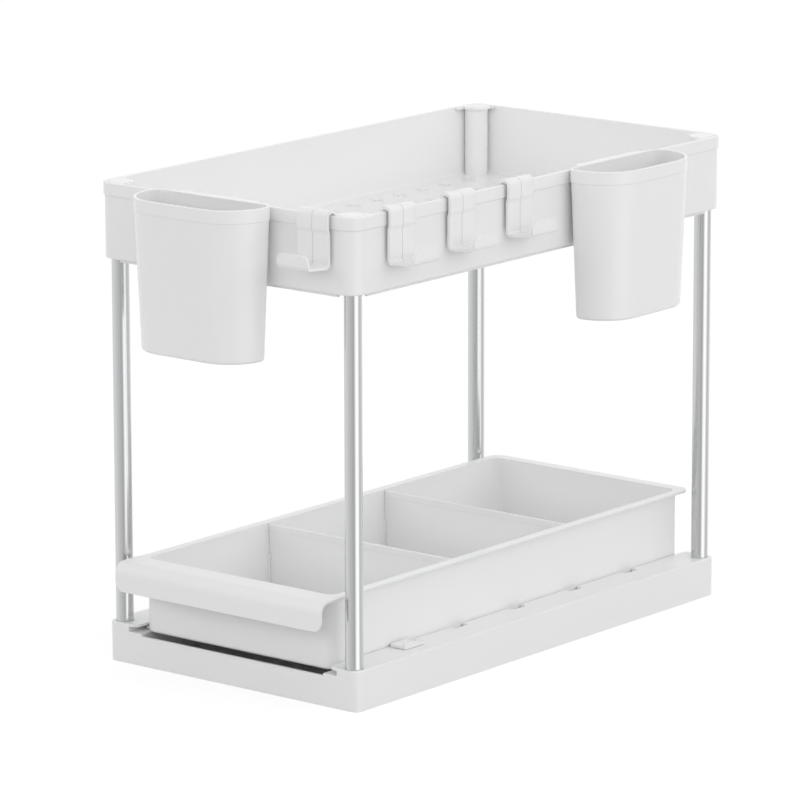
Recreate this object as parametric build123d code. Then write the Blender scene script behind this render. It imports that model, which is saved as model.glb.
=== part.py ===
from build123d import *
import math
import os

# All lengths are in millimetres. The origin is the centre of the underside of the base.
# +Z is up, -Y is the front, where the drawer's handle is, and +X is the right side.

# Base tray that stands on the cupboard floor
base_width = 218.0
base_length = 400.0
base_height = 27.7
base_corner_radius = 4.3
base_edge_radius = 0.8
base_floor_thickness = 2.5
base_wall = 2.5
ledge_width = 24.7
ledge_plate_thickness = 1.7
ledge_end_radius = 5.0
rail_drop = 5.3
rail_width = 11.5
channel_depth = 7.2
end_lip_drop = 1.9
end_lip_radius = 1.0
rib_thickness = 2.0
rib_count = 5

# Windows in the ledges, one of which holds the drawer stop
window_pitch = 64.0
window_length = 13.5
window_depth = 5.2
window_end_count = 2

# Tubes that carry the basket, and their sockets
tube_diameter = 12.0
tube_wall = 0.8
tube_length = 315.0
tube_inset_x = 8.0
tube_inset_y = 7.0
tube_fit_gap = 0.18
socket_depth = 18.0
socket_wall = 2.2

# Upper basket
tube_top_to_rim = 6.5
rim_overhang_x = 10.5
rim_overhang_y = 11.5
rim_corner_radius = 11.5
rim_wall = 3.1
rim_band_height = 9.0
rim_band_step = 1.0
rim_edge_radius = 0.6
band_round_share = 0.85
basket_height = 51.8
basket_floor_thickness = 2.0
basket_bottom_radius = 1.2
basket_inner_radius = 2.5
sleeve_wall = 2.05
underlip_inset = 3.0
underlip_height = 2.0
underlip_thickness = 1.8
underlip_end_gap = 6.5

# Plus-shaped drain slots in the basket's floor
drain_arm_length = 14.0
drain_arm_width = 2.0
drain_pitch_x = 29.9
drain_pitch_y = 26.0
drain_margin_x = 11.0
drain_margin_y = 22.0

# Caps over the four tubes
cap_radius = 10.0
cap_thickness = 1.8
cap_wing_reach_x = 10.8
cap_wing_reach_y = 15.2
cap_wing_width = 3.0
cap_wing_radius = 2.0
cap_gap = 0.25
cap_plug_radius = 4.3
cap_plug_length = 3.0
cap_plug_gap = 0.3

# Drawer
drawer_height = 51.2
drawer_side_gap = 0.9
drawer_end_setback = 6.5
drawer_rest_gap = 0.3
drawer_wall = 2.0
drawer_floor_thickness = 2.2
drawer_corner_radius = 9.0
drawer_bottom_radius = 2.0
drawer_inner_radius = 3.0
flange_overhang = 5.0
flange_back_overhang = 7.4
flange_thickness = 1.4
flange_corner_radius = 11.0
flange_edge_radius = 0.5
runner_width = 3.4
runner_height = 2.2
runner_end_inset = 6.5
runner_stop_width = 7.4
runner_stop_length = 9.0

# Hood along the drawer's front, which is its handle
hood_reach = 21.0
hood_drop = 19.9
hood_side_overhang = 6.6
hood_bend_radius = 8.0
hood_corner_radius = 7.0
hood_thickness = 1.8
hood_flare_start = 3.5
hood_flare_length = 12.0

# Dividers and the ribs that hold them
divider_pitch = 127.0
divider_thickness = 1.6
divider_bead_thickness = 2.1
divider_bead_height = 4.5
divider_end_gap = 0.3
divider_slot_gap = 0.25
divider_below_rim = 0.9
divider_foot_radius = 3.5
divider_corner_radius = 1.5
guide_rib_thickness = 1.2
guide_rib_depth = 1.6
guide_rib_height = 27.5

# Drawer stop clips
clip_head_width = 13.5
clip_head_length = 21.0
clip_head_thickness = 2.0
clip_head_shift = 2.0
clip_head_radius = 1.5
clip_inset = 0.7
clip_gap = 0.3
clip_stem_thickness = 1.9
clip_stem_inset = 3.0
clip_stem_gap = 0.25
clip_tip_gap = 0.5
clip_barb_reach = 1.4
clip_barb_height = 1.0
clip_barb_length = 6.0
clip_rib_height = 0.8
clip_rib_width = 1.6
clip_rib_inset = 2.0

# Hanging cups
cup_width = 104.6
cup_depth = 42.0
cup_height = 103.3
cup_back_radius = 10.5
cup_side_flat = 0.5
cup_wall = 1.7
cup_band_height = 9.0
cup_band_step = 0.5
cup_bottom_radius = 2.5
cup_inner_radius = 2.0
cup_edge_radius = 0.5
cup_draft_degrees = 2.4
cup_front_share = -0.0554
cup_side_share = 0.3658
hanger_width = 71.0
hanger_thickness = 1.5
hanger_leg_length = 12.0
hanger_bend_radius = 1.3
hang_gap = 0.3

# Over-rim hooks
hook_width = 26.3
hook_thickness = 1.9
hook_drop = 35.1
hook_floor_rise = 1.8
hook_reach = 24.1
hook_tongue_height = 12.1
hook_tongue_radius = 5.5
hook_leg_length = 9.0
hook_leg_width = 13.0
hook_cap_gap = 4.2
hook_top_gap = 1.6
hook_face_gap = 2.1
hook_bend_radius = 2.3
hook_foot_radius = 1.8
hook_jog_depth = 0.9
hook_jog_gap = 0.2
hook_jog_height = 2.6
hook_jog_radius = 4.0
hook_groove_width = 0.7
hook_groove_depth = 0.35
hook_side_shares = (-0.8218, -0.4979, -0.1741)

# How far every cut runs past the face that it opens
overrun = 1.0

# Places that follow from the sizes above
tube_radius = tube_diameter / 2
rail_height = base_height - rail_drop
tube_x = base_width / 2 - tube_inset_x
tube_y = base_length / 2 - tube_inset_y
tube_bottom = base_height - socket_depth
tube_top = tube_bottom + tube_length
bore_radius = tube_radius + tube_fit_gap
ledge_inner = base_width / 2 - ledge_width
rail_inner = ledge_inner + channel_depth - rail_width
channel_outer = ledge_inner + channel_depth
channel_top = base_height - ledge_plate_thickness
rim_top = tube_top + tube_top_to_rim
rim_half_x = tube_x + rim_overhang_x
rim_half_y = tube_y + rim_overhang_y
inner_half_x = rim_half_x - rim_wall
inner_half_y = rim_half_y - rim_wall
wall_half_x = rim_half_x - rim_band_step
wall_half_y = rim_half_y - rim_band_step
basket_bottom = rim_top - basket_height
basket_floor = basket_bottom + basket_floor_thickness
drawer_half_x = ledge_inner - drawer_side_gap
drawer_half_y = base_length / 2 - drawer_end_setback
drawer_bottom = rail_height + drawer_rest_gap
drawer_top = drawer_bottom + drawer_height
drawer_floor = drawer_bottom + drawer_floor_thickness
drawer_in_x = drawer_half_x - drawer_wall
drawer_in_y = drawer_half_y - drawer_wall
cup_front_radius = cup_depth - cup_back_radius - cup_side_flat
cup_front_x = tube_x * cup_front_share
cup_side_y = tube_y * cup_side_share
hook_front_x = tube_x - cap_wing_reach_x - hook_cap_gap - hook_leg_width / 2
hook_side_places = [tube_y * share for share in hook_side_shares]
window_places = [window_pitch * k for k in range(-window_end_count, window_end_count + 1)]
tube_places = {
    "front_left": (-tube_x, -tube_y),
    "front_right": (tube_x, -tube_y),
    "back_left": (-tube_x, tube_y),
    "back_right": (tube_x, tube_y),
}


def slab(x_low, x_high, y_low, y_high, z_low, z_high):
    """Plain block between two corners."""
    block = Box(x_high - x_low, y_high - y_low, z_high - z_low)
    middle = ((x_low + x_high) / 2, (y_low + y_high) / 2, (z_low + z_high) / 2)
    return Pos(*middle) * block


def rounded_slab(half_x, half_y, radius, z_low, z_high):
    """Block on the Z axis whose upright edges are rounded."""
    outline = RectangleRounded(2 * half_x, 2 * half_y, radius)
    return Pos(0, 0, z_low) * extrude(outline, z_high - z_low)


def upright_cylinder(radius, place, z_low, z_high):
    """Cylinder that stands at a place in the plan."""
    return Pos(place[0], place[1], (z_low + z_high) / 2) * Cylinder(radius, z_high - z_low)


def rounded_profile(corners):
    """Closed face through corners given as (x, y, radius), each rounded by a tangent arc."""
    count = len(corners)
    starts = []
    ends = []
    middles = []
    for index in range(count):
        x, y, radius = corners[index]
        here = Vector(x, y)
        before = Vector(*corners[index - 1][:2])
        after = Vector(*corners[(index + 1) % count][:2])
        to_before = (before - here).normalized()
        to_after = (after - here).normalized()
        half_angle = math.radians(to_before.get_angle(to_after)) / 2
        setback = radius / math.tan(half_angle)
        bisector = (to_before + to_after).normalized()
        starts.append(here + to_before * setback)
        ends.append(here + to_after * setback)
        middles.append(here + bisector * (radius / math.sin(half_angle) - radius))
    edges = []
    for index in range(count):
        if corners[index][2] > 0:
            edges.append(ThreePointArc(starts[index], middles[index], ends[index]))
        edges.append(Line(ends[index], starts[(index + 1) % count]))
    return make_face(edges)


def edges_at_height(shape, height):
    """Edges of a shape that lie flat at one height."""
    return shape.edges().filter_by_position(Axis.Z, height, height)


def side_mirrored(right_shape):
    """A right-hand shape together with its mirror image on the left."""
    return right_shape + mirror(right_shape, about=Plane.YZ)


# Base


def make_base():
    """Tray with two ledges, rails for the drawer, sockets for the tubes and hollow sides."""
    half_x = base_width / 2
    half_y = base_length / 2
    body = rounded_slab(half_x, half_y, base_corner_radius, 0, base_height)
    body = fillet(edges_at_height(body, base_height), base_edge_radius)

    bay = Rectangle(2 * ledge_inner, base_length + 2 * overrun)
    flare = Rectangle(2 * (ledge_inner + ledge_end_radius), ledge_end_radius + overrun)
    for end in (-1, 1):
        piece = Pos(0, end * (half_y + (overrun - ledge_end_radius) / 2)) * flare
        for side in (-1, 1):
            centre = (side * (ledge_inner + ledge_end_radius), end * (half_y - ledge_end_radius))
            piece -= Pos(*centre) * Circle(ledge_end_radius)
        bay += piece
    body -= Pos(0, 0, rail_height) * extrude(bay, base_height - rail_height + overrun)
    reach_y = half_y + overrun
    body -= slab(-channel_outer, channel_outer, -reach_y, reach_y, rail_height, channel_top)
    lip_top = rail_height - end_lip_drop
    body -= slab(-rail_inner, rail_inner, -reach_y, reach_y, lip_top, rail_height + overrun)
    for end in (-half_y, half_y):
        lip = edges_at_height(body, lip_top).filter_by(Axis.X).filter_by_position(Axis.Y, end, end)
        body = fillet(lip, end_lip_radius)
    recess_y = half_y - base_wall
    body -= slab(-rail_inner, rail_inner, -recess_y, recess_y, base_floor_thickness, base_height)
    body -= side_mirrored(make_side_pocket())

    for y in window_places:
        window = slab(
            ledge_inner - overrun, ledge_inner + window_depth,
            y - window_length / 2, y + window_length / 2,
            channel_top - overrun, base_height + overrun,
        )
        body -= side_mirrored(window)
    for place in tube_places.values():
        body -= upright_cylinder(bore_radius, place, tube_bottom, base_height + overrun)
    return body


def make_side_pocket():
    """Hollow under the right-hand ledge and rail, with its ribs and socket bosses left standing."""
    half_y = base_length / 2 - base_wall
    inner = rail_inner + base_wall
    outer = base_width / 2 - base_wall
    low_top = rail_height - base_wall
    pocket = slab(inner, outer, -half_y, half_y, -overrun, low_top)
    high_top = base_height - base_wall
    pocket += slab(channel_outer + base_wall, outer, -half_y, half_y, -overrun, high_top)
    spacing = 2 * tube_y / (rib_count + 1)
    for index in range(rib_count):
        y = -tube_y + spacing * (index + 1)
        rib = slab(inner, outer, y - rib_thickness / 2, y + rib_thickness / 2, -overrun, base_height)
        pocket -= rib
    boss_radius = bore_radius + socket_wall
    for y in (-tube_y, tube_y):
        pocket -= upright_cylinder(boss_radius, (tube_x, y), -2 * overrun, base_height)
    return pocket


# Tubes


def make_tube(place):
    """Steel tube from the floor of its socket to the shoulder in the basket's sleeve."""
    outside = upright_cylinder(tube_radius, place, tube_bottom, tube_top)
    inside = upright_cylinder(
        tube_radius - tube_wall, place, tube_bottom - overrun, tube_top + overrun
    )
    return outside - inside


# Basket


def make_basket():
    """Rectangular basket with a proud rim band, corner sleeves, drain slots and a lip below."""
    wall_radius = rim_corner_radius - rim_band_step
    inner_radius = rim_corner_radius - rim_wall
    body = rounded_slab(wall_half_x, wall_half_y, wall_radius, basket_bottom, rim_top)
    body = fillet(edges_at_height(body, basket_bottom), basket_bottom_radius)
    band_bottom = rim_top - rim_band_height
    band = rounded_slab(rim_half_x, rim_half_y, rim_corner_radius, band_bottom, rim_top)
    body += fillet(edges_at_height(band, band_bottom), rim_band_step * band_round_share)
    hollow = rounded_slab(
        inner_half_x, inner_half_y, inner_radius, basket_floor, rim_top + overrun
    )
    hollow = fillet(edges_at_height(hollow, basket_floor), basket_inner_radius)
    body -= hollow
    body = fillet(edges_at_height(body, rim_top), rim_edge_radius)

    sleeve_radius = bore_radius + sleeve_wall
    column_top = rim_top - cap_thickness
    keep_in = rounded_slab(wall_half_x, wall_half_y, wall_radius, basket_bottom, rim_top)
    for place in tube_places.values():
        column = upright_cylinder(sleeve_radius, place, basket_bottom, column_top)
        body += column & keep_in
    body += make_underlip()
    for place in tube_places.values():
        body -= upright_cylinder(bore_radius, place, basket_bottom - overrun, tube_top)
        plug_hole = cap_plug_radius + cap_plug_gap
        body -= upright_cylinder(plug_hole, place, tube_top, column_top + overrun)
    return body - make_drain_slots()


def make_underlip():
    """Four straight ribs under the basket's floor, which stop short of the tubes."""
    lip_x = wall_half_x - underlip_inset
    lip_y = wall_half_y - underlip_inset
    stop_x = tube_x - underlip_end_gap
    stop_y = tube_y - underlip_end_gap
    low = basket_bottom - underlip_height
    high = basket_bottom + basket_floor_thickness / 2
    side = slab(lip_x - underlip_thickness, lip_x, -stop_y, stop_y, low, high)
    front = slab(-stop_x, stop_x, -lip_y, -lip_y + underlip_thickness, low, high)
    return side_mirrored(side) + front + mirror(front, about=Plane.XZ)


def make_drain_slots():
    """Grid of plus-shaped slots through the basket's floor."""
    rows = int((inner_half_x - drain_margin_x) / drain_pitch_x)
    columns = int((inner_half_y - drain_margin_y) / drain_pitch_y + 1 / 2)
    depth = basket_floor_thickness + 2 * overrun
    arm = Rectangle(drain_arm_length, drain_arm_width)
    plus = arm + Rectangle(drain_arm_width, drain_arm_length)
    cutter = Pos(0, 0, basket_bottom - overrun) * extrude(plus, depth)
    slots = []
    for row in range(-rows, rows + 1):
        for column in range(-columns, columns):
            y = drain_pitch_y * (column + 1 / 2)
            slots.append(Pos(drain_pitch_x * row, y, 0) * cutter)
    return Compound(slots)


def make_cap(place):
    """Flat cap on a sleeve: a disc with two small wings along the walls and a plug below."""
    side_x = math.copysign(1, place[0])
    side_y = math.copysign(1, place[1])
    wall_x = inner_half_x - tube_x
    wall_y = inner_half_y - tube_y
    along_x = slab(-cap_wing_reach_x, wall_x, wall_y - cap_wing_width, wall_y, 0, cap_thickness)
    along_y = slab(wall_x - cap_wing_width, wall_x, -cap_wing_reach_y, wall_y, 0, cap_thickness)
    along_x = fillet(along_x.edges().filter_by(Axis.Z).sort_by(Axis.X)[0:1], cap_wing_radius)
    along_y = fillet(along_y.edges().filter_by(Axis.Z).sort_by(Axis.Y)[0:1], cap_wing_radius)
    plate = Pos(0, 0, cap_thickness / 2) * Cylinder(cap_radius, cap_thickness)
    plate += along_x
    plate += along_y
    room_radius = rim_corner_radius - rim_wall - cap_gap
    room = RectangleRounded(2 * (inner_half_x - cap_gap), 2 * (inner_half_y - cap_gap), room_radius)
    plate &= Pos(-tube_x, -tube_y, 0) * extrude(room, cap_thickness)
    plug = Pos(0, 0, -cap_plug_length / 2) * Cylinder(cap_plug_radius, cap_plug_length)
    cap = plate + plug
    if side_x < 0:
        cap = mirror(cap, about=Plane.YZ)
    if side_y < 0:
        cap = mirror(cap, about=Plane.XZ)
    return Pos(place[0], place[1], rim_top - cap_thickness) * cap


# Drawer


def make_drawer():
    """Open box with a flange all round, a hood in front, runners below and divider ribs."""
    body = rounded_slab(
        drawer_half_x, drawer_half_y, drawer_corner_radius, drawer_bottom, drawer_top
    )
    body = fillet(edges_at_height(body, drawer_bottom), drawer_bottom_radius)
    body += make_flange_and_hood()
    hollow_radius = drawer_corner_radius - drawer_wall
    hollow = rounded_slab(
        drawer_in_x, drawer_in_y, hollow_radius, drawer_floor, drawer_top + overrun
    )
    body -= fillet(edges_at_height(hollow, drawer_floor), drawer_inner_radius)
    body += side_mirrored(make_runner())
    for y in (-divider_pitch / 2, divider_pitch / 2):
        body += side_mirrored(make_guide_ribs(y))
    return body


def make_flange_and_hood():
    """Flat flange round the drawer's mouth, which bends down in front as a hood."""
    flange_x = drawer_half_x + flange_overhang
    flange_y = drawer_half_y + flange_back_overhang
    hood_x = drawer_half_x + hood_side_overhang
    front = -drawer_half_y - hood_reach
    skirt_low = drawer_top - hood_drop
    flare_end = -drawer_half_y - hood_flare_start
    flare_start = flare_end + hood_flare_length
    flare_step = hood_x - flange_x
    bend = (hood_flare_length ** 2 + flare_step ** 2) / (8 * flare_step)
    right = [
        (flange_x, flange_y, flange_corner_radius),
        (flange_x, flare_start, bend),
        (hood_x, flare_end, bend),
        (hood_x, front - overrun, 0),
    ]
    left = [(-x, y, radius) for x, y, radius in reversed(right)]
    plan = Pos(0, 0, skirt_low - overrun) * extrude(
        rounded_profile(right + left), hood_drop + 2 * overrun
    )
    outer_bend = hood_bend_radius
    inner_bend = hood_bend_radius - hood_thickness
    profile = rounded_profile([
        (flange_y, drawer_top, flange_edge_radius),
        (front, drawer_top, outer_bend),
        (front, skirt_low, flange_edge_radius),
        (front + hood_thickness, skirt_low, flange_edge_radius),
        (front + hood_thickness, drawer_top - flange_thickness, inner_bend),
        (flange_y, drawer_top - flange_thickness, flange_edge_radius),
    ])
    sheet = extrude(Plane.YZ * profile, hood_x + overrun, both=True)
    face = rounded_profile([
        (-hood_x, drawer_top + overrun, 0),
        (hood_x, drawer_top + overrun, 0),
        (hood_x, skirt_low, hood_corner_radius),
        (-hood_x, skirt_low, hood_corner_radius),
    ])
    front_view = extrude(Plane.XZ * face, 2 * drawer_half_y + hood_reach, both=True)
    return (plan & sheet) & front_view


def make_runner():
    """Runner strip along the right side of the drawer's foot, with the stop at its back end."""
    end = drawer_half_y - runner_end_inset
    start = drawer_half_x - drawer_wall / 2
    high = drawer_bottom + runner_height
    strip = slab(start, drawer_half_x + runner_width, -end, end, drawer_bottom, high)
    stop_reach = drawer_half_x + runner_stop_width
    return strip + slab(start, stop_reach, end - runner_stop_length, end, drawer_bottom, high)


def make_guide_ribs(y):
    """Pair of ribs on the right-hand wall, with the slot for one divider between them."""
    slot = divider_thickness / 2 + divider_slot_gap
    low = drawer_floor - drawer_floor_thickness / 2
    high = drawer_floor + guide_rib_height
    pair = []
    for side in (-1, 1):
        near = y + side * slot
        far = near + side * guide_rib_thickness
        pair.append(slab(
            drawer_in_x - guide_rib_depth, drawer_in_x + drawer_wall / 2,
            min(near, far), max(near, far), low, high,
        ))
    return pair[0] + pair[1]


def make_divider(y):
    """Loose plate with a thicker bead along its top edge."""
    half_x = drawer_in_x - divider_end_gap
    low = drawer_floor + drawer_rest_gap
    high = drawer_top - divider_below_rim
    plate = rounded_profile([
        (-half_x, low, divider_foot_radius),
        (half_x, low, divider_foot_radius),
        (half_x, high, divider_corner_radius),
        (-half_x, high, divider_corner_radius),
    ])
    divider = extrude(Plane.XZ * plate, divider_thickness / 2, both=True)
    bead = slab(
        -half_x, half_x, -divider_bead_thickness / 2, divider_bead_thickness / 2,
        high - divider_bead_height, high,
    )
    bead = fillet(bead.edges().filter_by(Axis.X), (divider_bead_thickness - divider_thickness) / 2)
    return Pos(0, y, 0) * (divider + bead)


# Drawer stops


def make_stop_clip():
    """Right-hand clip: a head on the ledge and a stem through the window into the channel."""
    window_y = window_places[0]
    head_low = base_height + clip_gap
    head_high = head_low + clip_head_thickness
    head_x = ledge_inner + clip_inset
    head_y = window_y + clip_head_shift
    head = slab(
        head_x, head_x + clip_head_width,
        head_y - clip_head_length / 2, head_y + clip_head_length / 2, head_low, head_high,
    )
    head = fillet(head.edges().filter_by(Axis.Z), clip_head_radius)
    stem_x = ledge_inner + clip_stem_inset
    half_stem = window_length / 2 - clip_stem_gap
    stem_low = rail_height + clip_tip_gap
    stem = slab(
        stem_x, stem_x + clip_stem_thickness, window_y - half_stem, window_y + half_stem,
        stem_low, head_low + clip_head_thickness / 2,
    )
    barb_x = stem_x + clip_stem_thickness
    barb_high = channel_top - clip_gap
    barb = slab(
        barb_x - clip_stem_thickness / 2, barb_x + clip_barb_reach,
        window_y - clip_barb_length / 2, window_y + clip_barb_length / 2,
        barb_high - clip_barb_height, barb_high,
    )
    rib_y = head_y + clip_head_length / 2 - clip_rib_inset
    rib_x = head_x + clip_head_width - clip_rib_inset
    rib_low = head_high - clip_head_thickness / 2
    rib_high = head_high + clip_rib_height
    long_rib = slab(
        rib_x - clip_rib_width, rib_x, head_y - clip_head_length / 2 + clip_rib_inset, rib_y,
        rib_low, rib_high,
    )
    short_rib = slab(
        head_x + clip_rib_inset, rib_x, rib_y - clip_rib_width, rib_y, rib_low, rib_high
    )
    return head + stem + barb + long_rib + short_rib


# Pieces that hang on the basket's rim


def cup_outline(inset, height):
    """Plan outline of a cup, flat at the back and drawn in all round by the inset."""
    half = cup_width / 2 - inset
    front = -cup_depth + inset
    back_radius = cup_back_radius - inset
    front_radius = cup_front_radius - inset
    outline = rounded_profile([
        (half, -inset, back_radius),
        (-half, -inset, back_radius),
        (-half, front, front_radius),
        (half, front, front_radius),
    ])
    return Pos(0, 0, height) * outline


def make_cup():
    """Cup whose back stands along the X axis, with its hanger over the rim behind it."""
    top = rim_top + hang_gap + hanger_thickness
    bottom = top - cup_height
    draft = (cup_height - cup_band_height) * math.tan(math.radians(cup_draft_degrees))
    low_inset = cup_band_step + draft
    band_bottom = top - cup_band_height
    wall_top = cup_outline(cup_band_step, band_bottom)
    outside = loft([cup_outline(low_inset, bottom), wall_top], ruled=True)
    outside = fillet(edges_at_height(outside, bottom), cup_bottom_radius)
    band_inset = cup_band_step + cup_wall
    band = Pos(0, 0, band_bottom) * extrude(cup_outline(0, 0), cup_band_height)
    band = fillet(edges_at_height(band, band_bottom), cup_band_step * band_round_share)
    mouth = Pos(0, 0, band_bottom) * extrude(cup_outline(band_inset, 0), cup_band_height)
    band = fillet(edges_at_height(band - mouth, top), cup_edge_radius)
    floor = bottom + cup_wall
    inside_top = cup_outline(band_inset, band_bottom)
    inside = loft([cup_outline(low_inset + cup_wall, floor), inside_top], ruled=True)
    inside = fillet(edges_at_height(inside, floor), cup_inner_radius)
    return (outside + band - inside - mouth) + make_hanger(top)


def make_hanger(top):
    """Strip from the cup's back rim over the basket's rim and down inside it."""
    rim_near = hang_gap
    leg_near = rim_near + rim_wall + hang_gap
    leg_far = leg_near + hanger_thickness
    low = rim_top - hanger_leg_length
    under = top - hanger_thickness
    profile = rounded_profile([
        (-cup_band_step - cup_wall / 2, top, 0),
        (-cup_band_step - cup_wall / 2, under, 0),
        (leg_near, under, 0),
        (leg_near, low, 0),
        (leg_far, low, 0),
        (leg_far, top, hanger_bend_radius),
    ])
    return extrude(Plane.YZ * profile, hanger_width / 2, both=True)


def make_hook():
    """Hook in its own frame: -Y points away from the basket and the rim's face is at Y zero."""
    under = rim_top + hook_top_gap
    top = under + hook_thickness
    leg_near = -rim_wall - hang_gap
    leg_far = leg_near - hook_thickness
    leg_low = rim_top - hook_leg_length
    plate = hook_face_gap
    back = hook_face_gap - hook_jog_depth
    jog_high = rim_top - rim_band_height - hook_jog_gap
    jog_low = jog_high - hook_jog_height
    low = rim_top - hook_drop
    low_far = low + hook_floor_rise
    tongue_top = low + hook_tongue_height
    top_radius = hook_bend_radius + hook_thickness
    foot_radius = hook_foot_radius + hook_thickness
    profile = rounded_profile([
        (leg_far, leg_low, 0),
        (leg_far, top, top_radius),
        (plate + hook_thickness, top, top_radius),
        (plate + hook_thickness, jog_high, hook_jog_radius),
        (back + hook_thickness, jog_low, hook_jog_radius),
        (back + hook_thickness, low + hook_thickness, hook_foot_radius),
        (hook_reach - hook_thickness, low_far + hook_thickness, hook_foot_radius),
        (hook_reach - hook_thickness, tongue_top, 0),
        (hook_reach, tongue_top, 0),
        (hook_reach, low_far, foot_radius),
        (back, low, foot_radius),
        (back, jog_low, hook_jog_radius),
        (plate, jog_high, hook_jog_radius),
        (plate, under, hook_bend_radius),
        (leg_near, under, hook_bend_radius),
        (leg_near, leg_low, 0),
    ])
    outward = Plane(origin=(0, 0, 0), x_dir=(0, -1, 0), z_dir=(-1, 0, 0))
    hook = extrude(outward * profile, hook_width / 2, both=True)
    leg_top = rim_top + hang_gap
    for side in (-1, 1):
        near = side * hook_leg_width / 2
        far = side * hook_width
        hook -= slab(min(near, far), max(near, far), rim_wall, -2 * leg_far, leg_low - overrun, leg_top)
    tips = hook.edges().filter_by(Axis.Y).filter_by_position(Axis.Z, tongue_top, tongue_top)
    hook = fillet(tips, hook_tongue_radius)
    return hook - make_hook_groove(outward, top, jog_high, jog_low, low)


def make_hook_groove(outward, top, jog_high, jog_low, low):
    """Shallow groove that runs over the middle of a hook, down its face and along its floor."""
    plate = hook_face_gap + hook_thickness - hook_groove_depth
    back = plate - hook_jog_depth
    floor = low + hook_thickness - hook_groove_depth
    crest = top - hook_groove_depth
    start = hook_bend_radius - rim_wall - hang_gap
    profile = rounded_profile([
        (start, crest, 0),
        (plate, crest, hook_bend_radius + hook_thickness - hook_groove_depth),
        (plate, jog_high, hook_jog_radius),
        (back, jog_low, hook_jog_radius),
        (back, floor, hook_foot_radius + hook_groove_depth),
        (hook_reach - hook_thickness, floor + hook_floor_rise, 0),
        (hook_reach - hook_thickness, top + overrun, 0),
        (start, top + overrun, 0),
    ])
    return extrude(outward * profile, hook_groove_width / 2, both=True)


def on_front(shape, x):
    """Hang a shape on the front of the rim at one X."""
    return Pos(x, -rim_half_y, 0) * shape


def on_side(shape, y):
    """Hang a shape on the right side of the rim at one Y."""
    return Pos(rim_half_x, y, 0) * Rot(0, 0, 90) * shape


def make_parts():
    """Every piece under the name of its node."""
    cup = Pos(0, -hang_gap, 0) * make_cup()
    hook = make_hook()
    clip = make_stop_clip()
    parts = {
        "base": make_base(),
        "basket": make_basket(),
        "drawer": make_drawer(),
        "divider_front": make_divider(-divider_pitch / 2),
        "divider_back": make_divider(divider_pitch / 2),
        "stop_clip_right": clip,
        "stop_clip_left": mirror(clip, about=Plane.YZ),
        "cup_front": on_front(cup, cup_front_x),
        "cup_side": on_side(cup, cup_side_y),
        "hook_front": on_front(hook, hook_front_x),
    }
    for index, y in enumerate(hook_side_places):
        parts[f"hook_side_{index + 1}"] = on_side(hook, y)
    for name, place in tube_places.items():
        parts[f"tube_{name}"] = make_tube(place)
        parts[f"cap_{name}"] = make_cap(place)
    return parts


os.makedirs("parts", exist_ok=True)
for node, shape in make_parts().items():
    export_step(shape, f"parts/{node}.step")
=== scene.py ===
"""Dresses the under sink organizer: moulded white plastic, drawn steel tubes, studio and camera.

Lengths are in metres, angles in degrees and colours linear, except where a line says otherwise.
"""

import logging
import math
from dataclasses import dataclass
from enum import Enum

import bpy
from mathutils import Matrix, Vector

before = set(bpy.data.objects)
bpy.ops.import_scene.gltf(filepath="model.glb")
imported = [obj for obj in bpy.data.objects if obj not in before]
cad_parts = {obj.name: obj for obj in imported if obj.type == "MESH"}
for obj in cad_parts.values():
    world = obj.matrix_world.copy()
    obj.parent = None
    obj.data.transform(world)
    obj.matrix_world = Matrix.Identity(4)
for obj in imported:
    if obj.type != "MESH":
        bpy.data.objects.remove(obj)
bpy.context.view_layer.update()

log = logging.getLogger("organizer")

Colour = tuple[float, float, float]
Shade = tuple[float, float, float, float]
Point = tuple[float, float, float]
Levels = tuple[tuple[float, float], ...]
Source = bpy.types.NodeSocket | float | tuple[float, ...]

METRE = 1.0  # bump distance that takes heights as metres
WHITE_LEVEL = 1.0  # shows as white
SOLID = 1.0  # full alpha


class Slot(Enum):
    """Material slots of the record."""

    WHITE_PLASTIC = "white_plastic"
    STEEL = "steel"


class SocketKind(Enum):
    """Kinds of value that a node group takes in and puts out."""

    NUMBER = "NodeSocketFloat"
    DIRECTION = "NodeSocketVector"


def opaque(colour: Colour) -> Shade:
    """Adds full alpha to a colour."""
    return (*colour, SOLID)


def grey(level: float) -> Shade:
    """Makes an opaque grey of one level."""
    return (level, level, level, SOLID)


def bearing(azimuth: float, elevation: float) -> Vector:
    """Turns a compass angle and a height angle into a direction away from the organizer.

    Args:
        azimuth: 0 in front of the drawer, 90 on the right side.
        elevation: 0 at the horizon, 90 overhead.

    Returns:
        Direction of length 1.
    """
    turn, lift = math.radians(azimuth), math.radians(elevation)
    level = math.cos(lift)
    return Vector((math.sin(turn) * level, -math.cos(turn) * level, math.sin(lift)))


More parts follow.
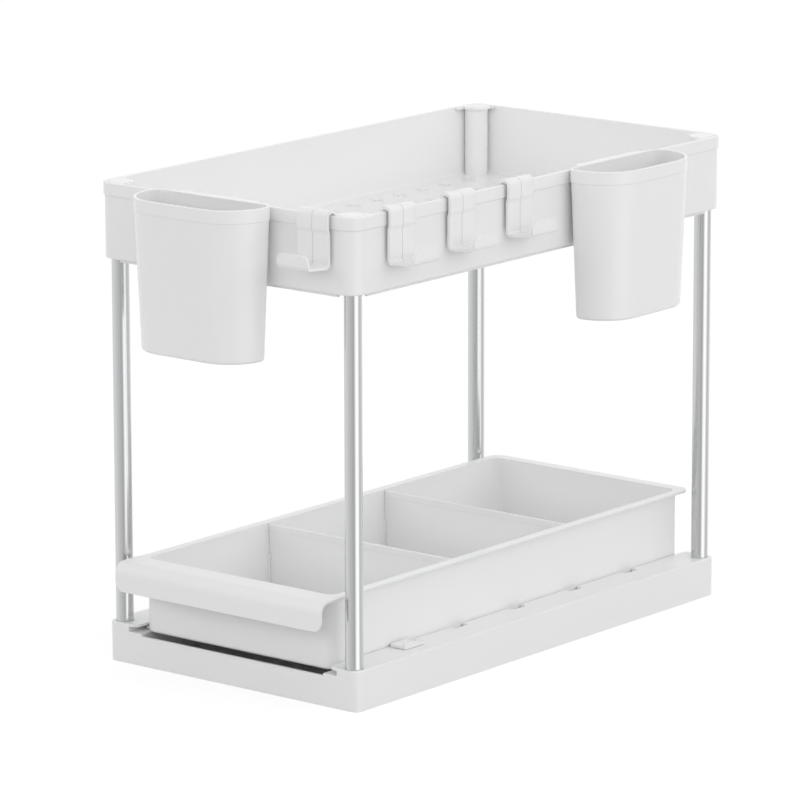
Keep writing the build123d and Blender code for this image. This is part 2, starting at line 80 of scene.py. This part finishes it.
class Wiring:
    """Places nodes in one node tree and links them."""

    # A Mix node has sockets for each kind of value, and these are the places of those for colours.
    mix_factor, mix_first, mix_second, mix_result = 0, 6, 7, 2

    def __init__(self, tree: bpy.types.NodeTree) -> None:
        """Keeps the tree that the nodes go into."""
        self.tree = tree

    @classmethod
    def over(cls, owner: bpy.types.Material | bpy.types.World) -> "Wiring":
        """Starts an empty node tree.

        Args:
            owner: Material or world that gets it.

        Returns:
            Wiring of the tree.
        """
        owner.use_nodes = True
        owner.node_tree.nodes.clear()
        return cls(owner.node_tree)

    def place(self, kind: str, **settings: object) -> bpy.types.Node:
        """Places one node.

        Args:
            kind: Type name of the node.
            settings: Properties to set on it.

        Returns:
            The new node.
        """
        node = self.tree.nodes.new(kind)
        for name, value in settings.items():
            setattr(node, name, value)
        return node

    def feed(self, source: Source, target: bpy.types.NodeSocket) -> None:
        """Links a socket to an input, or sets a plain value on it.

        Args:
            source: Output socket, number or tuple.
            target: Input socket.
        """
        if isinstance(source, bpy.types.NodeSocket):
            self.tree.links.new(source, target)
        else:
            target.default_value = source

    def fill(self, node: bpy.types.Node, *sources: Source) -> bpy.types.NodeSocket:
        """Feeds the first inputs of a node.

        Args:
            node: Node to feed.
            sources: Value or socket for each input, in their order.

        Returns:
            The node's first output.
        """
        for source, target in zip(sources, node.inputs):
            self.feed(source, target)
        return node.outputs[0]

    def reckon(self, operation: str, *values: Source, clamp: bool = False) -> bpy.types.NodeSocket:
        """Places a Math node on the values, and gives its result, kept to 0 to 1 if clamped."""
        node = self.place("ShaderNodeMath", operation=operation, use_clamp=clamp)
        return self.fill(node, *values)

    def stretched(self, where: bpy.types.NodeSocket, stretch: Point) -> bpy.types.NodeSocket:
        """Scales coordinates by a factor along each of X, Y and Z."""
        node = self.place("ShaderNodeVectorMath", operation="MULTIPLY")
        return self.fill(node, where, stretch)

    def span(self, mask: Source, low: Source, high: Source) -> bpy.types.NodeSocket:
        """Spreads a mask of 0 to 1 between two values.

        Args:
            mask: Mask.
            low: Result where the mask is 0.
            high: Result where the mask is 1.

        Returns:
            The spread value.
        """
        node = self.place("ShaderNodeMapRange")
        self.feed(mask, node.inputs["Value"])
        self.feed(low, node.inputs["To Min"])
        self.feed(high, node.inputs["To Max"])
        return node.outputs["Result"]

    def blend(self, factor: Source, first: Source, second: Source) -> bpy.types.NodeSocket:
        """Mixes two colours.

        Args:
            factor: Share of the second colour.
            first: First colour.
            second: Second colour.

        Returns:
            The mixed colour.
        """
        node = self.place("ShaderNodeMix", data_type="RGBA")
        self.feed(factor, node.inputs[self.mix_factor])
        self.feed(first, node.inputs[self.mix_first])
        self.feed(second, node.inputs[self.mix_second])
        return node.outputs[self.mix_result]

    def noise(
        self, where: bpy.types.NodeSocket, scale: Source, detail: float, roughness: float
    ) -> bpy.types.NodeSocket:
        """Places a noise texture.

        Args:
            where: Coordinates.
            scale: Waves per metre.
            detail: Number of finer layers.
            roughness: Strength of the finer layers.

        Returns:
            Its value of 0 to 1.
        """
        node = self.place("ShaderNodeTexNoise")
        self.feed(where, node.inputs["Vector"])
        self.feed(scale, node.inputs["Scale"])
        self.feed(detail, node.inputs["Detail"])
        self.feed(roughness, node.inputs["Roughness"])
        return node.outputs["Fac"]

    def relief(
        self, height: bpy.types.NodeSocket, normal: bpy.types.NodeSocket | None = None
    ) -> bpy.types.NodeSocket:
        """Turns a height into a normal.

        Args:
            height: Height above the surface.
            normal: Normal to start from, or none for the surface's own.

        Returns:
            The new normal.
        """
        node = self.place("ShaderNodeBump")
        self.feed(METRE, node.inputs["Distance"])
        self.feed(height, node.inputs["Height"])
        if normal is not None:
            self.feed(normal, node.inputs["Normal"])
        return node.outputs["Normal"]

    def ramp(self, place: bpy.types.NodeSocket, levels: Levels) -> bpy.types.NodeSocket:
        """Spreads brightness smoothly along a value.

        Args:
            place: Value to look up.
            levels: Places of 0 to 1, each with its brightness of 0 to 1.

        Returns:
            Brightness at the value.
        """
        node = self.place("ShaderNodeValToRGB")
        node.color_ramp.interpolation = "EASE"
        stops = node.color_ramp.elements
        halfway = 0.5
        while len(stops) < len(levels):
            stops.new(halfway)
        for stop, (position, level) in zip(stops, levels):
            stop.position = position
            stop.color = grey(level)
        self.feed(place, node.inputs["Fac"])
        return node.outputs["Color"]


class Effect:
    """Shader node group with named inputs and outputs, built once."""

    name: str
    inputs: dict[str, float]
    outputs: dict[str, SocketKind]

    def tree(self) -> bpy.types.NodeTree:
        """Makes the group, or finds it if it is there already.

        Returns:
            The group's node tree.
        """
        found = bpy.data.node_groups.get(self.name)
        if found:
            return found
        tree = bpy.data.node_groups.new(self.name, "ShaderNodeTree")
        for name, default in self.inputs.items():
            socket = tree.interface.new_socket(
                name, in_out="INPUT", socket_type=SocketKind.NUMBER.value
            )
            socket.default_value = default
        for name, kind in self.outputs.items():
            tree.interface.new_socket(name, in_out="OUTPUT", socket_type=kind.value)
        wiring = Wiring(tree)
        start = wiring.place("NodeGroupInput")
        end = wiring.place("NodeGroupOutput")
        for name, result in self.results(wiring, start).items():
            wiring.feed(result, end.inputs[name])
        return tree

    def results(self, wiring: Wiring, start: bpy.types.Node) -> dict[str, bpy.types.NodeSocket]:
        """Builds the inside of the group, from its input node to a socket for each output."""
        raise NotImplementedError

    def placed(self, wiring: Wiring, values: dict[str, float]) -> bpy.types.Node:
        """Places the group in a material with its own values.

        Args:
            wiring: Wiring of the material's tree.
            values: Value for each input's name.

        Returns:
            The group node.
        """
        node = wiring.place("ShaderNodeGroup", node_tree=self.tree(), label=self.name)
        for name, value in values.items():
            wiring.feed(value, node.inputs[name])
        return node


class SoftEdge(Effect):
    """Small rounding that a mould leaves on every edge, with a mask of where it is."""

    name = "Soft Edge"
    inputs = {"Radius": 0.0003, "Mask Gain": 2.5}
    outputs = {"Normal": SocketKind.DIRECTION, "Edge": SocketKind.NUMBER}
    samples = 6

    def results(self, wiring: Wiring, start: bpy.types.Node) -> dict[str, bpy.types.NodeSocket]:
        """Builds the rounding from the surface around each point.

        Args:
            wiring: Wiring of the group's tree.
            start: The group's input node.

        Returns:
            The rounded normal and the edge mask.
        """
        rounded = wiring.place("ShaderNodeBevel", samples=self.samples)
        wiring.feed(start.outputs["Radius"], rounded.inputs["Radius"])
        surface = wiring.place("ShaderNodeNewGeometry")
        turn = wiring.place("ShaderNodeVectorMath", operation="DOT_PRODUCT")
        wiring.fill(turn, rounded.outputs["Normal"], surface.outputs["Normal"])
        away = wiring.reckon("SUBTRACT", 1.0, turn.outputs["Value"], clamp=True)
        mask = wiring.reckon("MULTIPLY", away, start.outputs["Mask Gain"], clamp=True)
        return {"Normal": rounded.outputs["Normal"], "Edge": mask}


class MouldedSkin(Effect):
    """Skin of an injection moulding: fine spark grain, slow waves, flow marks and uneven gloss."""

    name = "Moulded Skin"
    inputs = {
        "Grain Scale": 1500.0,
        "Grain Height": 0.000004,
        "Wave Scale": 16.0,
        "Wave Height": 0.00005,
    }
    outputs = {
        "Tone": SocketKind.NUMBER,
        "Gloss": SocketKind.NUMBER,
        "Height": SocketKind.NUMBER,
    }
    grain_noise = {"detail": 2.0, "roughness": 0.6}
    wave_noise = {"detail": 1.0, "roughness": 0.4}
    flow_noise = {"scale": 42.0, "detail": 3.0, "roughness": 0.55}
    flow_stretch = (1.0, 0.35, 1.6)
    waves_in_tone = 0.6
    flow_in_tone = 0.4
    flow_in_gloss = 0.7
    grain_in_gloss = 0.3

    def results(self, wiring: Wiring, start: bpy.types.Node) -> dict[str, bpy.types.NodeSocket]:
        """Builds grain, waves and flow marks.

        Args:
            wiring: Wiring of the group's tree.
            start: The group's input node.

        Returns:
            Masks for tone and gloss, and the height in metres.
        """
        where = wiring.place("ShaderNodeTexCoord").outputs["Object"]
        grain = wiring.noise(where, start.outputs["Grain Scale"], **self.grain_noise)
        waves = wiring.noise(where, start.outputs["Wave Scale"], **self.wave_noise)
        flow = wiring.noise(wiring.stretched(where, self.flow_stretch), **self.flow_noise)
        grain_height = wiring.reckon("MULTIPLY", grain, start.outputs["Grain Height"])
        wave_height = wiring.reckon("MULTIPLY", waves, start.outputs["Wave Height"])
        flow_tone = wiring.reckon("MULTIPLY", flow, self.flow_in_tone)
        grain_gloss = wiring.reckon("MULTIPLY", grain, self.grain_in_gloss)
        tone = wiring.reckon("MULTIPLY_ADD", waves, self.waves_in_tone, flow_tone, clamp=True)
        gloss = wiring.reckon("MULTIPLY_ADD", flow, self.flow_in_gloss, grain_gloss, clamp=True)
        height = wiring.reckon("ADD", grain_height, wave_height)
        return {"Tone": tone, "Gloss": gloss, "Height": height}


class DrawLines(Effect):
    """Fine lines that drawing and polishing leave along a steel tube."""

    name = "Draw Lines"
    inputs = {"Line Scale": 2600.0, "Line Height": 0.000002}
    outputs = {
        "Lines": SocketKind.NUMBER,
        "Haze": SocketKind.NUMBER,
        "Height": SocketKind.NUMBER,
    }
    line_noise = {"detail": 3.0, "roughness": 0.6}
    line_stretch = (1.0, 1.0, 0.012)
    haze_noise = {"scale": 60.0, "detail": 2.0, "roughness": 0.5}
    haze_stretch = (1.0, 1.0, 0.25)

    def results(self, wiring: Wiring, start: bpy.types.Node) -> dict[str, bpy.types.NodeSocket]:
        """Builds the lines, which are long along Z, and a slow haze between them.

        Args:
            wiring: Wiring of the group's tree.
            start: The group's input node.

        Returns:
            Masks for the lines and the haze, and the height in metres.
        """
        where = wiring.place("ShaderNodeTexCoord").outputs["Object"]
        along = wiring.stretched(where, self.line_stretch)
        lines = wiring.noise(along, start.outputs["Line Scale"], **self.line_noise)
        haze = wiring.noise(wiring.stretched(where, self.haze_stretch), **self.haze_noise)
        height = wiring.reckon("MULTIPLY", lines, start.outputs["Line Height"])
        return {"Lines": lines, "Haze": haze, "Height": height}


@dataclass(frozen=True)
class Finish:
    """Finish of a surface, made once and shared by the pieces that have it.

    Deep and pale are the two ends of its colour, and smooth and matt those of its roughness.
    """

    name: str
    slot: Slot
    deep: Colour
    pale: Colour
    smooth: float
    matt: float

    def material(self) -> bpy.types.Material:
        """Makes the material, or finds it if it is there already.

        Returns:
            The material.
        """
        found = bpy.data.materials.get(self.name)
        if found:
            return found
        material = bpy.data.materials.new(self.name)
        wiring = Wiring.over(material)
        shader = wiring.place("ShaderNodeBsdfPrincipled")
        self.coat(wiring, shader)
        end = wiring.place("ShaderNodeOutputMaterial")
        wiring.feed(shader.outputs["BSDF"], end.inputs["Surface"])
        return material

    def coat(self, wiring: Wiring, shader: bpy.types.Node) -> None:
        """Feeds the colour, roughness and normal of the finish to the shader."""
        raise NotImplementedError


@dataclass(frozen=True)
class MouldedPlastic(Finish):
    """White moulded plastic with a satin gloss."""

    slot: Slot = Slot.WHITE_PLASTIC
    deep: Colour = (0.885, 0.887, 0.886)
    pale: Colour = (0.905, 0.907, 0.906)
    smooth: float = 0.26
    matt: float = 0.31
    # Paler colour painted on the edges as a highlight; the plastic itself is no paler there.
    edge: Colour = (0.915, 0.916, 0.916)
    edge_polish: float = 0.08
    edge_radius: float = 0.0003
    grain_height: float = 0.000004
    wave_height: float = 0.00005
    refraction: float = 1.49

    def coat(self, wiring: Wiring, shader: bpy.types.Node) -> None:
        """Feeds the flow marks and grain of the moulding, its smoother edges, and a painted
        highlight that makes its edges paler.

        Args:
            wiring: Wiring of the material's tree.
            shader: The material's shader.
        """
        edge = SoftEdge().placed(wiring, {"Radius": self.edge_radius})
        skin = MouldedSkin().placed(
            wiring, {"Grain Height": self.grain_height, "Wave Height": self.wave_height}
        )
        body = wiring.blend(skin.outputs["Tone"], opaque(self.deep), opaque(self.pale))
        # Painted highlight: the edge mask mixes the paler edge colour into the body colour.
        colour = wiring.blend(edge.outputs["Edge"], body, opaque(self.edge))
        spread = wiring.span(skin.outputs["Gloss"], self.smooth, self.matt)
        polish = wiring.reckon("MULTIPLY", edge.outputs["Edge"], self.edge_polish)
        normal = wiring.relief(skin.outputs["Height"], edge.outputs["Normal"])
        wiring.feed(self.refraction, shader.inputs["IOR"])
        wiring.feed(colour, shader.inputs["Base Color"])
        wiring.feed(wiring.reckon("SUBTRACT", spread, polish), shader.inputs["Roughness"])
        wiring.feed(normal, shader.inputs["Normal"])


@dataclass(frozen=True)
class DrawnSteel(Finish):
    """Bright drawn steel with fine lines along the tube."""

    slot: Slot = Slot.STEEL
    deep: Colour = (0.60, 0.605, 0.61)
    pale: Colour = (0.66, 0.665, 0.67)
    smooth: float = 0.14
    matt: float = 0.24
    line_height: float = 0.000002
    metal: float = 1.0

    def coat(self, wiring: Wiring, shader: bpy.types.Node) -> None:
        """Feeds the lines and the haze of the steel.

        Args:
            wiring: Wiring of the material's tree.
            shader: The material's shader.
        """
        lines = DrawLines().placed(wiring, {"Line Height": self.line_height})
        colour = wiring.blend(lines.outputs["Lines"], opaque(self.deep), opaque(self.pale))
        roughness = wiring.span(lines.outputs["Haze"], self.smooth, self.matt)
        wiring.feed(self.metal, shader.inputs["Metallic"])
        wiring.feed(colour, shader.inputs["Base Color"])
        wiring.feed(roughness, shader.inputs["Roughness"])
        wiring.feed(wiring.relief(lines.outputs["Height"]), shader.inputs["Normal"])


LARGE_MOULDING = MouldedPlastic("Large White Moulding")
SMALL_MOULDING = MouldedPlastic(
    "Small White Moulding", smooth=0.22, matt=0.28, edge_radius=0.00025, wave_height=0.00002
)
TUBE_STEEL = DrawnSteel("Drawn Tube Steel")


@dataclass
class SubAssembly:
    """Pieces of the organizer that share one finish."""

    nodes: tuple[str, ...]
    finish: Finish

    def dress(self) -> None:
        """Gives each piece its finish."""
        material = self.finish.material()
        for name in self.nodes:
            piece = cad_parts[name]
            piece.data.materials.clear()
            piece.data.materials.append(material)
            log.info("%s: %s, %s", name, self.finish.name, self.finish.slot.value)


@dataclass
class BaseTray(SubAssembly):
    """Tray on the cupboard's floor, with its two drawer stops."""

    nodes: tuple[str, ...] = ("base", "stop_clip_left", "stop_clip_right")
    finish: Finish = LARGE_MOULDING


@dataclass
class Posts(SubAssembly):
    """Four steel tubes."""

    nodes: tuple[str, ...] = (
        "tube_front_left", "tube_front_right", "tube_back_left", "tube_back_right",
    )
    finish: Finish = TUBE_STEEL


@dataclass
class UpperBasket(SubAssembly):
    """Basket on the tubes."""

    nodes: tuple[str, ...] = ("basket",)
    finish: Finish = LARGE_MOULDING


@dataclass
class CornerCaps(SubAssembly):
    """Four caps over the tubes."""

    nodes: tuple[str, ...] = (
        "cap_front_left", "cap_front_right", "cap_back_left", "cap_back_right",
    )
    finish: Finish = SMALL_MOULDING


@dataclass
class SlidingDrawer(SubAssembly):
    """Drawer with its two loose dividers."""

    nodes: tuple[str, ...] = ("drawer", "divider_front", "divider_back")
    finish: Finish = LARGE_MOULDING


@dataclass
class HangingCups(SubAssembly):
    """Two cups on the basket's rim."""

    nodes: tuple[str, ...] = ("cup_front", "cup_side")
    finish: Finish = SMALL_MOULDING


@dataclass
class RimHooks(SubAssembly):
    """Four hooks on the basket's rim."""

    nodes: tuple[str, ...] = ("hook_front", "hook_side_1", "hook_side_2", "hook_side_3")
    finish: Finish = SMALL_MOULDING


@dataclass(frozen=True)
class SoftBox:
    """Square area lamp that faces the organizer."""

    name: str
    azimuth: float
    elevation: float
    width: float
    watts: float
    distance: float = 2.2

    def build(self, target: Vector) -> None:
        """Sets up the lamp.

        Args:
            target: Point that it faces.
        """
        data = bpy.data.lights.new(self.name, "AREA")
        data.shape = "SQUARE"
        data.size = self.width
        data.energy = self.watts
        lamp = bpy.data.objects.new(self.name, data)
        away = bearing(self.azimuth, self.elevation)
        lamp.location = target + away * self.distance
        lamp.rotation_euler = away.to_track_quat("Z", "Y").to_euler()
        bpy.context.scene.collection.objects.link(lamp)
        log.info("%s: %.1f W", self.name, self.watts)


@dataclass(frozen=True)
class Room:
    """Soft light from all round, white behind the object, and cards for the gloss to mirror.

    The levels go by the height of a direction, from 0 at the horizon to 1 overhead, and those of
    the cards by its compass angle.
    """

    level: float = 1.54
    by_height: Levels = (
        (0.0, 0.14), (0.11, 0.14), (0.19, 0.93), (0.29, 1.0),
        (0.36, 0.82), (0.56, 0.82), (0.66, 0.25), (1.0, 0.56),
    )
    card_level: float = 1.58
    by_compass: Levels = (
        (-180, 0.66), (-50, 0.61), (-30, 0.53), (15, 0.45), (38, 0.37), (54, 0.42),
        (66, 0.93), (90, 1.0), (105, 0.93), (114, 0.5), (138, 0.5), (180, 0.66),
    )

    def build(self) -> None:
        """Lights the room, and shows it white to the camera and through clear pieces."""
        world = bpy.data.worlds.new("Studio Room")
        bpy.context.scene.world = world
        wiring = Wiring.over(world)
        where = wiring.place("ShaderNodeSeparateXYZ")
        wiring.fill(where, wiring.place("ShaderNodeTexCoord").outputs["Generated"])
        height = wiring.ramp(where.outputs["Z"], self.by_height)
        room = wiring.reckon("MULTIPLY", height, self.level)
        path = wiring.place("ShaderNodeLightPath").outputs
        mirrored = wiring.span(path["Is Glossy Ray"], room, self.cards(wiring, where))
        shown = wiring.reckon("MAXIMUM", path["Is Camera Ray"], path["Is Transmission Ray"])
        light = wiring.place("ShaderNodeBackground")
        wiring.feed(grey(WHITE_LEVEL), light.inputs["Color"])
        wiring.feed(wiring.span(shown, mirrored, WHITE_LEVEL), light.inputs["Strength"])
        end = wiring.place("ShaderNodeOutputWorld")
        wiring.feed(light.outputs["Background"], end.inputs["Surface"])

    def cards(self, wiring: Wiring, where: bpy.types.Node) -> bpy.types.NodeSocket:
        """Stands pale and grey cards round the organizer, as its gloss mirrors them.

        Args:
            wiring: Wiring of the world's tree.
            where: Node that splits the direction into X, Y and Z.

        Returns:
            Brightness by compass angle.
        """
        full_turn, middle = 360.0, 0.5
        front = wiring.reckon("MULTIPLY", where.outputs["Y"], -1.0)
        turn = wiring.reckon("ARCTAN2", where.outputs["X"], front)
        share = wiring.reckon("ADD", wiring.reckon("DIVIDE", turn, math.tau), middle)
        levels = tuple((angle / full_turn + middle, level) for angle, level in self.by_compass)
        return wiring.reckon("MULTIPLY", wiring.ramp(share, levels), self.card_level)


@dataclass(frozen=True)
class PaleFloor:
    """Floor that looks white and still takes a faint shadow.

    Glow and faint make what looks at the floor, and paper throws light back on the object. The
    gloss of the object mirrors the room instead of the floor.
    """

    half: float = 8.0
    glow: float = 0.785
    faint: float = 0.27
    paper: float = 0.7

    def build(self) -> None:
        """Lays the floor under the organizer."""
        half = self.half
        corners = [(-half, -half, 0), (half, -half, 0), (half, half, 0), (-half, half, 0)]
        mesh = bpy.data.meshes.new("studio_floor")
        mesh.from_pydata(corners, [], [(0, 1, 2, 3)])
        mesh.materials.append(self.material())
        floor = bpy.data.objects.new("studio_floor", mesh)
        floor.visible_glossy = False
        bpy.context.scene.collection.objects.link(floor)

    def material(self) -> bpy.types.Material:
        """Makes the floor's material.

        Returns:
            The material.
        """
        material = bpy.data.materials.new("Studio Floor")
        wiring = Wiring.over(material)
        glow = wiring.place("ShaderNodeEmission")
        wiring.feed(self.glow, glow.inputs["Strength"])
        faint = wiring.place("ShaderNodeBsdfDiffuse")
        wiring.feed(grey(self.faint), faint.inputs["Color"])
        paper = wiring.place("ShaderNodeBsdfDiffuse")
        wiring.feed(grey(self.paper), paper.inputs["Color"])
        shown = wiring.place("ShaderNodeAddShader")
        wiring.fill(shown, glow.outputs["Emission"], faint.outputs["BSDF"])
        either = wiring.place("ShaderNodeMixShader")
        wiring.fill(either, self.seen(wiring), paper.outputs["BSDF"], shown.outputs["Shader"])
        end = wiring.place("ShaderNodeOutputMaterial")
        wiring.feed(either.outputs["Shader"], end.inputs["Surface"])
        return material

    def seen(self, wiring: Wiring) -> bpy.types.NodeSocket:
        """Makes the mask of the rays that look at the floor.

        Args:
            wiring: Wiring of the material's tree.

        Returns:
            1 for camera, glossy and transmission rays, else 0.
        """
        path = wiring.place("ShaderNodeLightPath").outputs
        direct = wiring.reckon("MAXIMUM", path["Is Camera Ray"], path["Is Glossy Ray"])
        return wiring.reckon("MAXIMUM", direct, path["Is Transmission Ray"])


@dataclass(frozen=True)
class PhotoCamera:
    """Camera that stands where the photograph was taken from.

    The lens and the sensor are in millimetres.
    """

    azimuth: float = 39.003
    elevation: float = 12.523
    roll: float = -0.122
    place: Point = (2.34584, -2.91651, 0.99256)
    lens: float = 249.85
    sensor: float = 36.0
    reach: float = 50.0

    def build(self) -> None:
        """Sets up the camera and looks through it."""
        data = bpy.data.cameras.new("Photo Camera")
        data.sensor_width = self.sensor
        data.lens = self.lens
        data.clip_end = self.reach
        camera = bpy.data.objects.new("Photo Camera", data)
        back = bearing(self.azimuth, self.elevation)
        right = (-back).cross(Vector((0, 0, 1))).normalized()
        up = right.cross(-back)
        roll = math.radians(self.roll)
        across = math.cos(roll) * right + math.sin(roll) * up
        upward = -math.sin(roll) * right + math.cos(roll) * up
        turned = Matrix((across, upward, back)).transposed().to_4x4()
        camera.matrix_world = Matrix.Translation(Vector(self.place)) @ turned
        bpy.context.scene.collection.objects.link(camera)
        bpy.context.scene.camera = camera


@dataclass(frozen=True)
class Studio:
    """Room, floor, lamps and camera."""

    target: Point = (0.0, 0.0, 0.16)
    room: Room = Room()
    floor: PaleFloor = PaleFloor()
    camera: PhotoCamera = PhotoCamera()
    lamps: tuple[SoftBox, ...] = (
        SoftBox("Right Softbox", azimuth=78.0, elevation=55.0, width=1.8, watts=3.6),
        SoftBox("Low Right Softbox", azimuth=90.0, elevation=14.0, width=1.2, watts=3.2),
        SoftBox("Low Front Softbox", azimuth=-10.0, elevation=14.0, width=1.2, watts=0.8),
    )

    def build(self) -> None:
        """Sets up the whole studio."""
        self.room.build()
        self.floor.build()
        for lamp in self.lamps:
            lamp.build(Vector(self.target))
        self.camera.build()


def main() -> None:
    """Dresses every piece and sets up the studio."""
    logging.basicConfig(level=logging.INFO, format="%(message)s")
    organizer: tuple[SubAssembly, ...] = (
        BaseTray(),
        Posts(),
        UpperBasket(),
        CornerCaps(),
        SlidingDrawer(),
        HangingCups(),
        RimHooks(),
    )
    for assembly in organizer:
        assembly.dress()
    Studio().build()
    bpy.context.scene.view_settings.view_transform = "Standard"


if __name__ == "__main__":
    main()
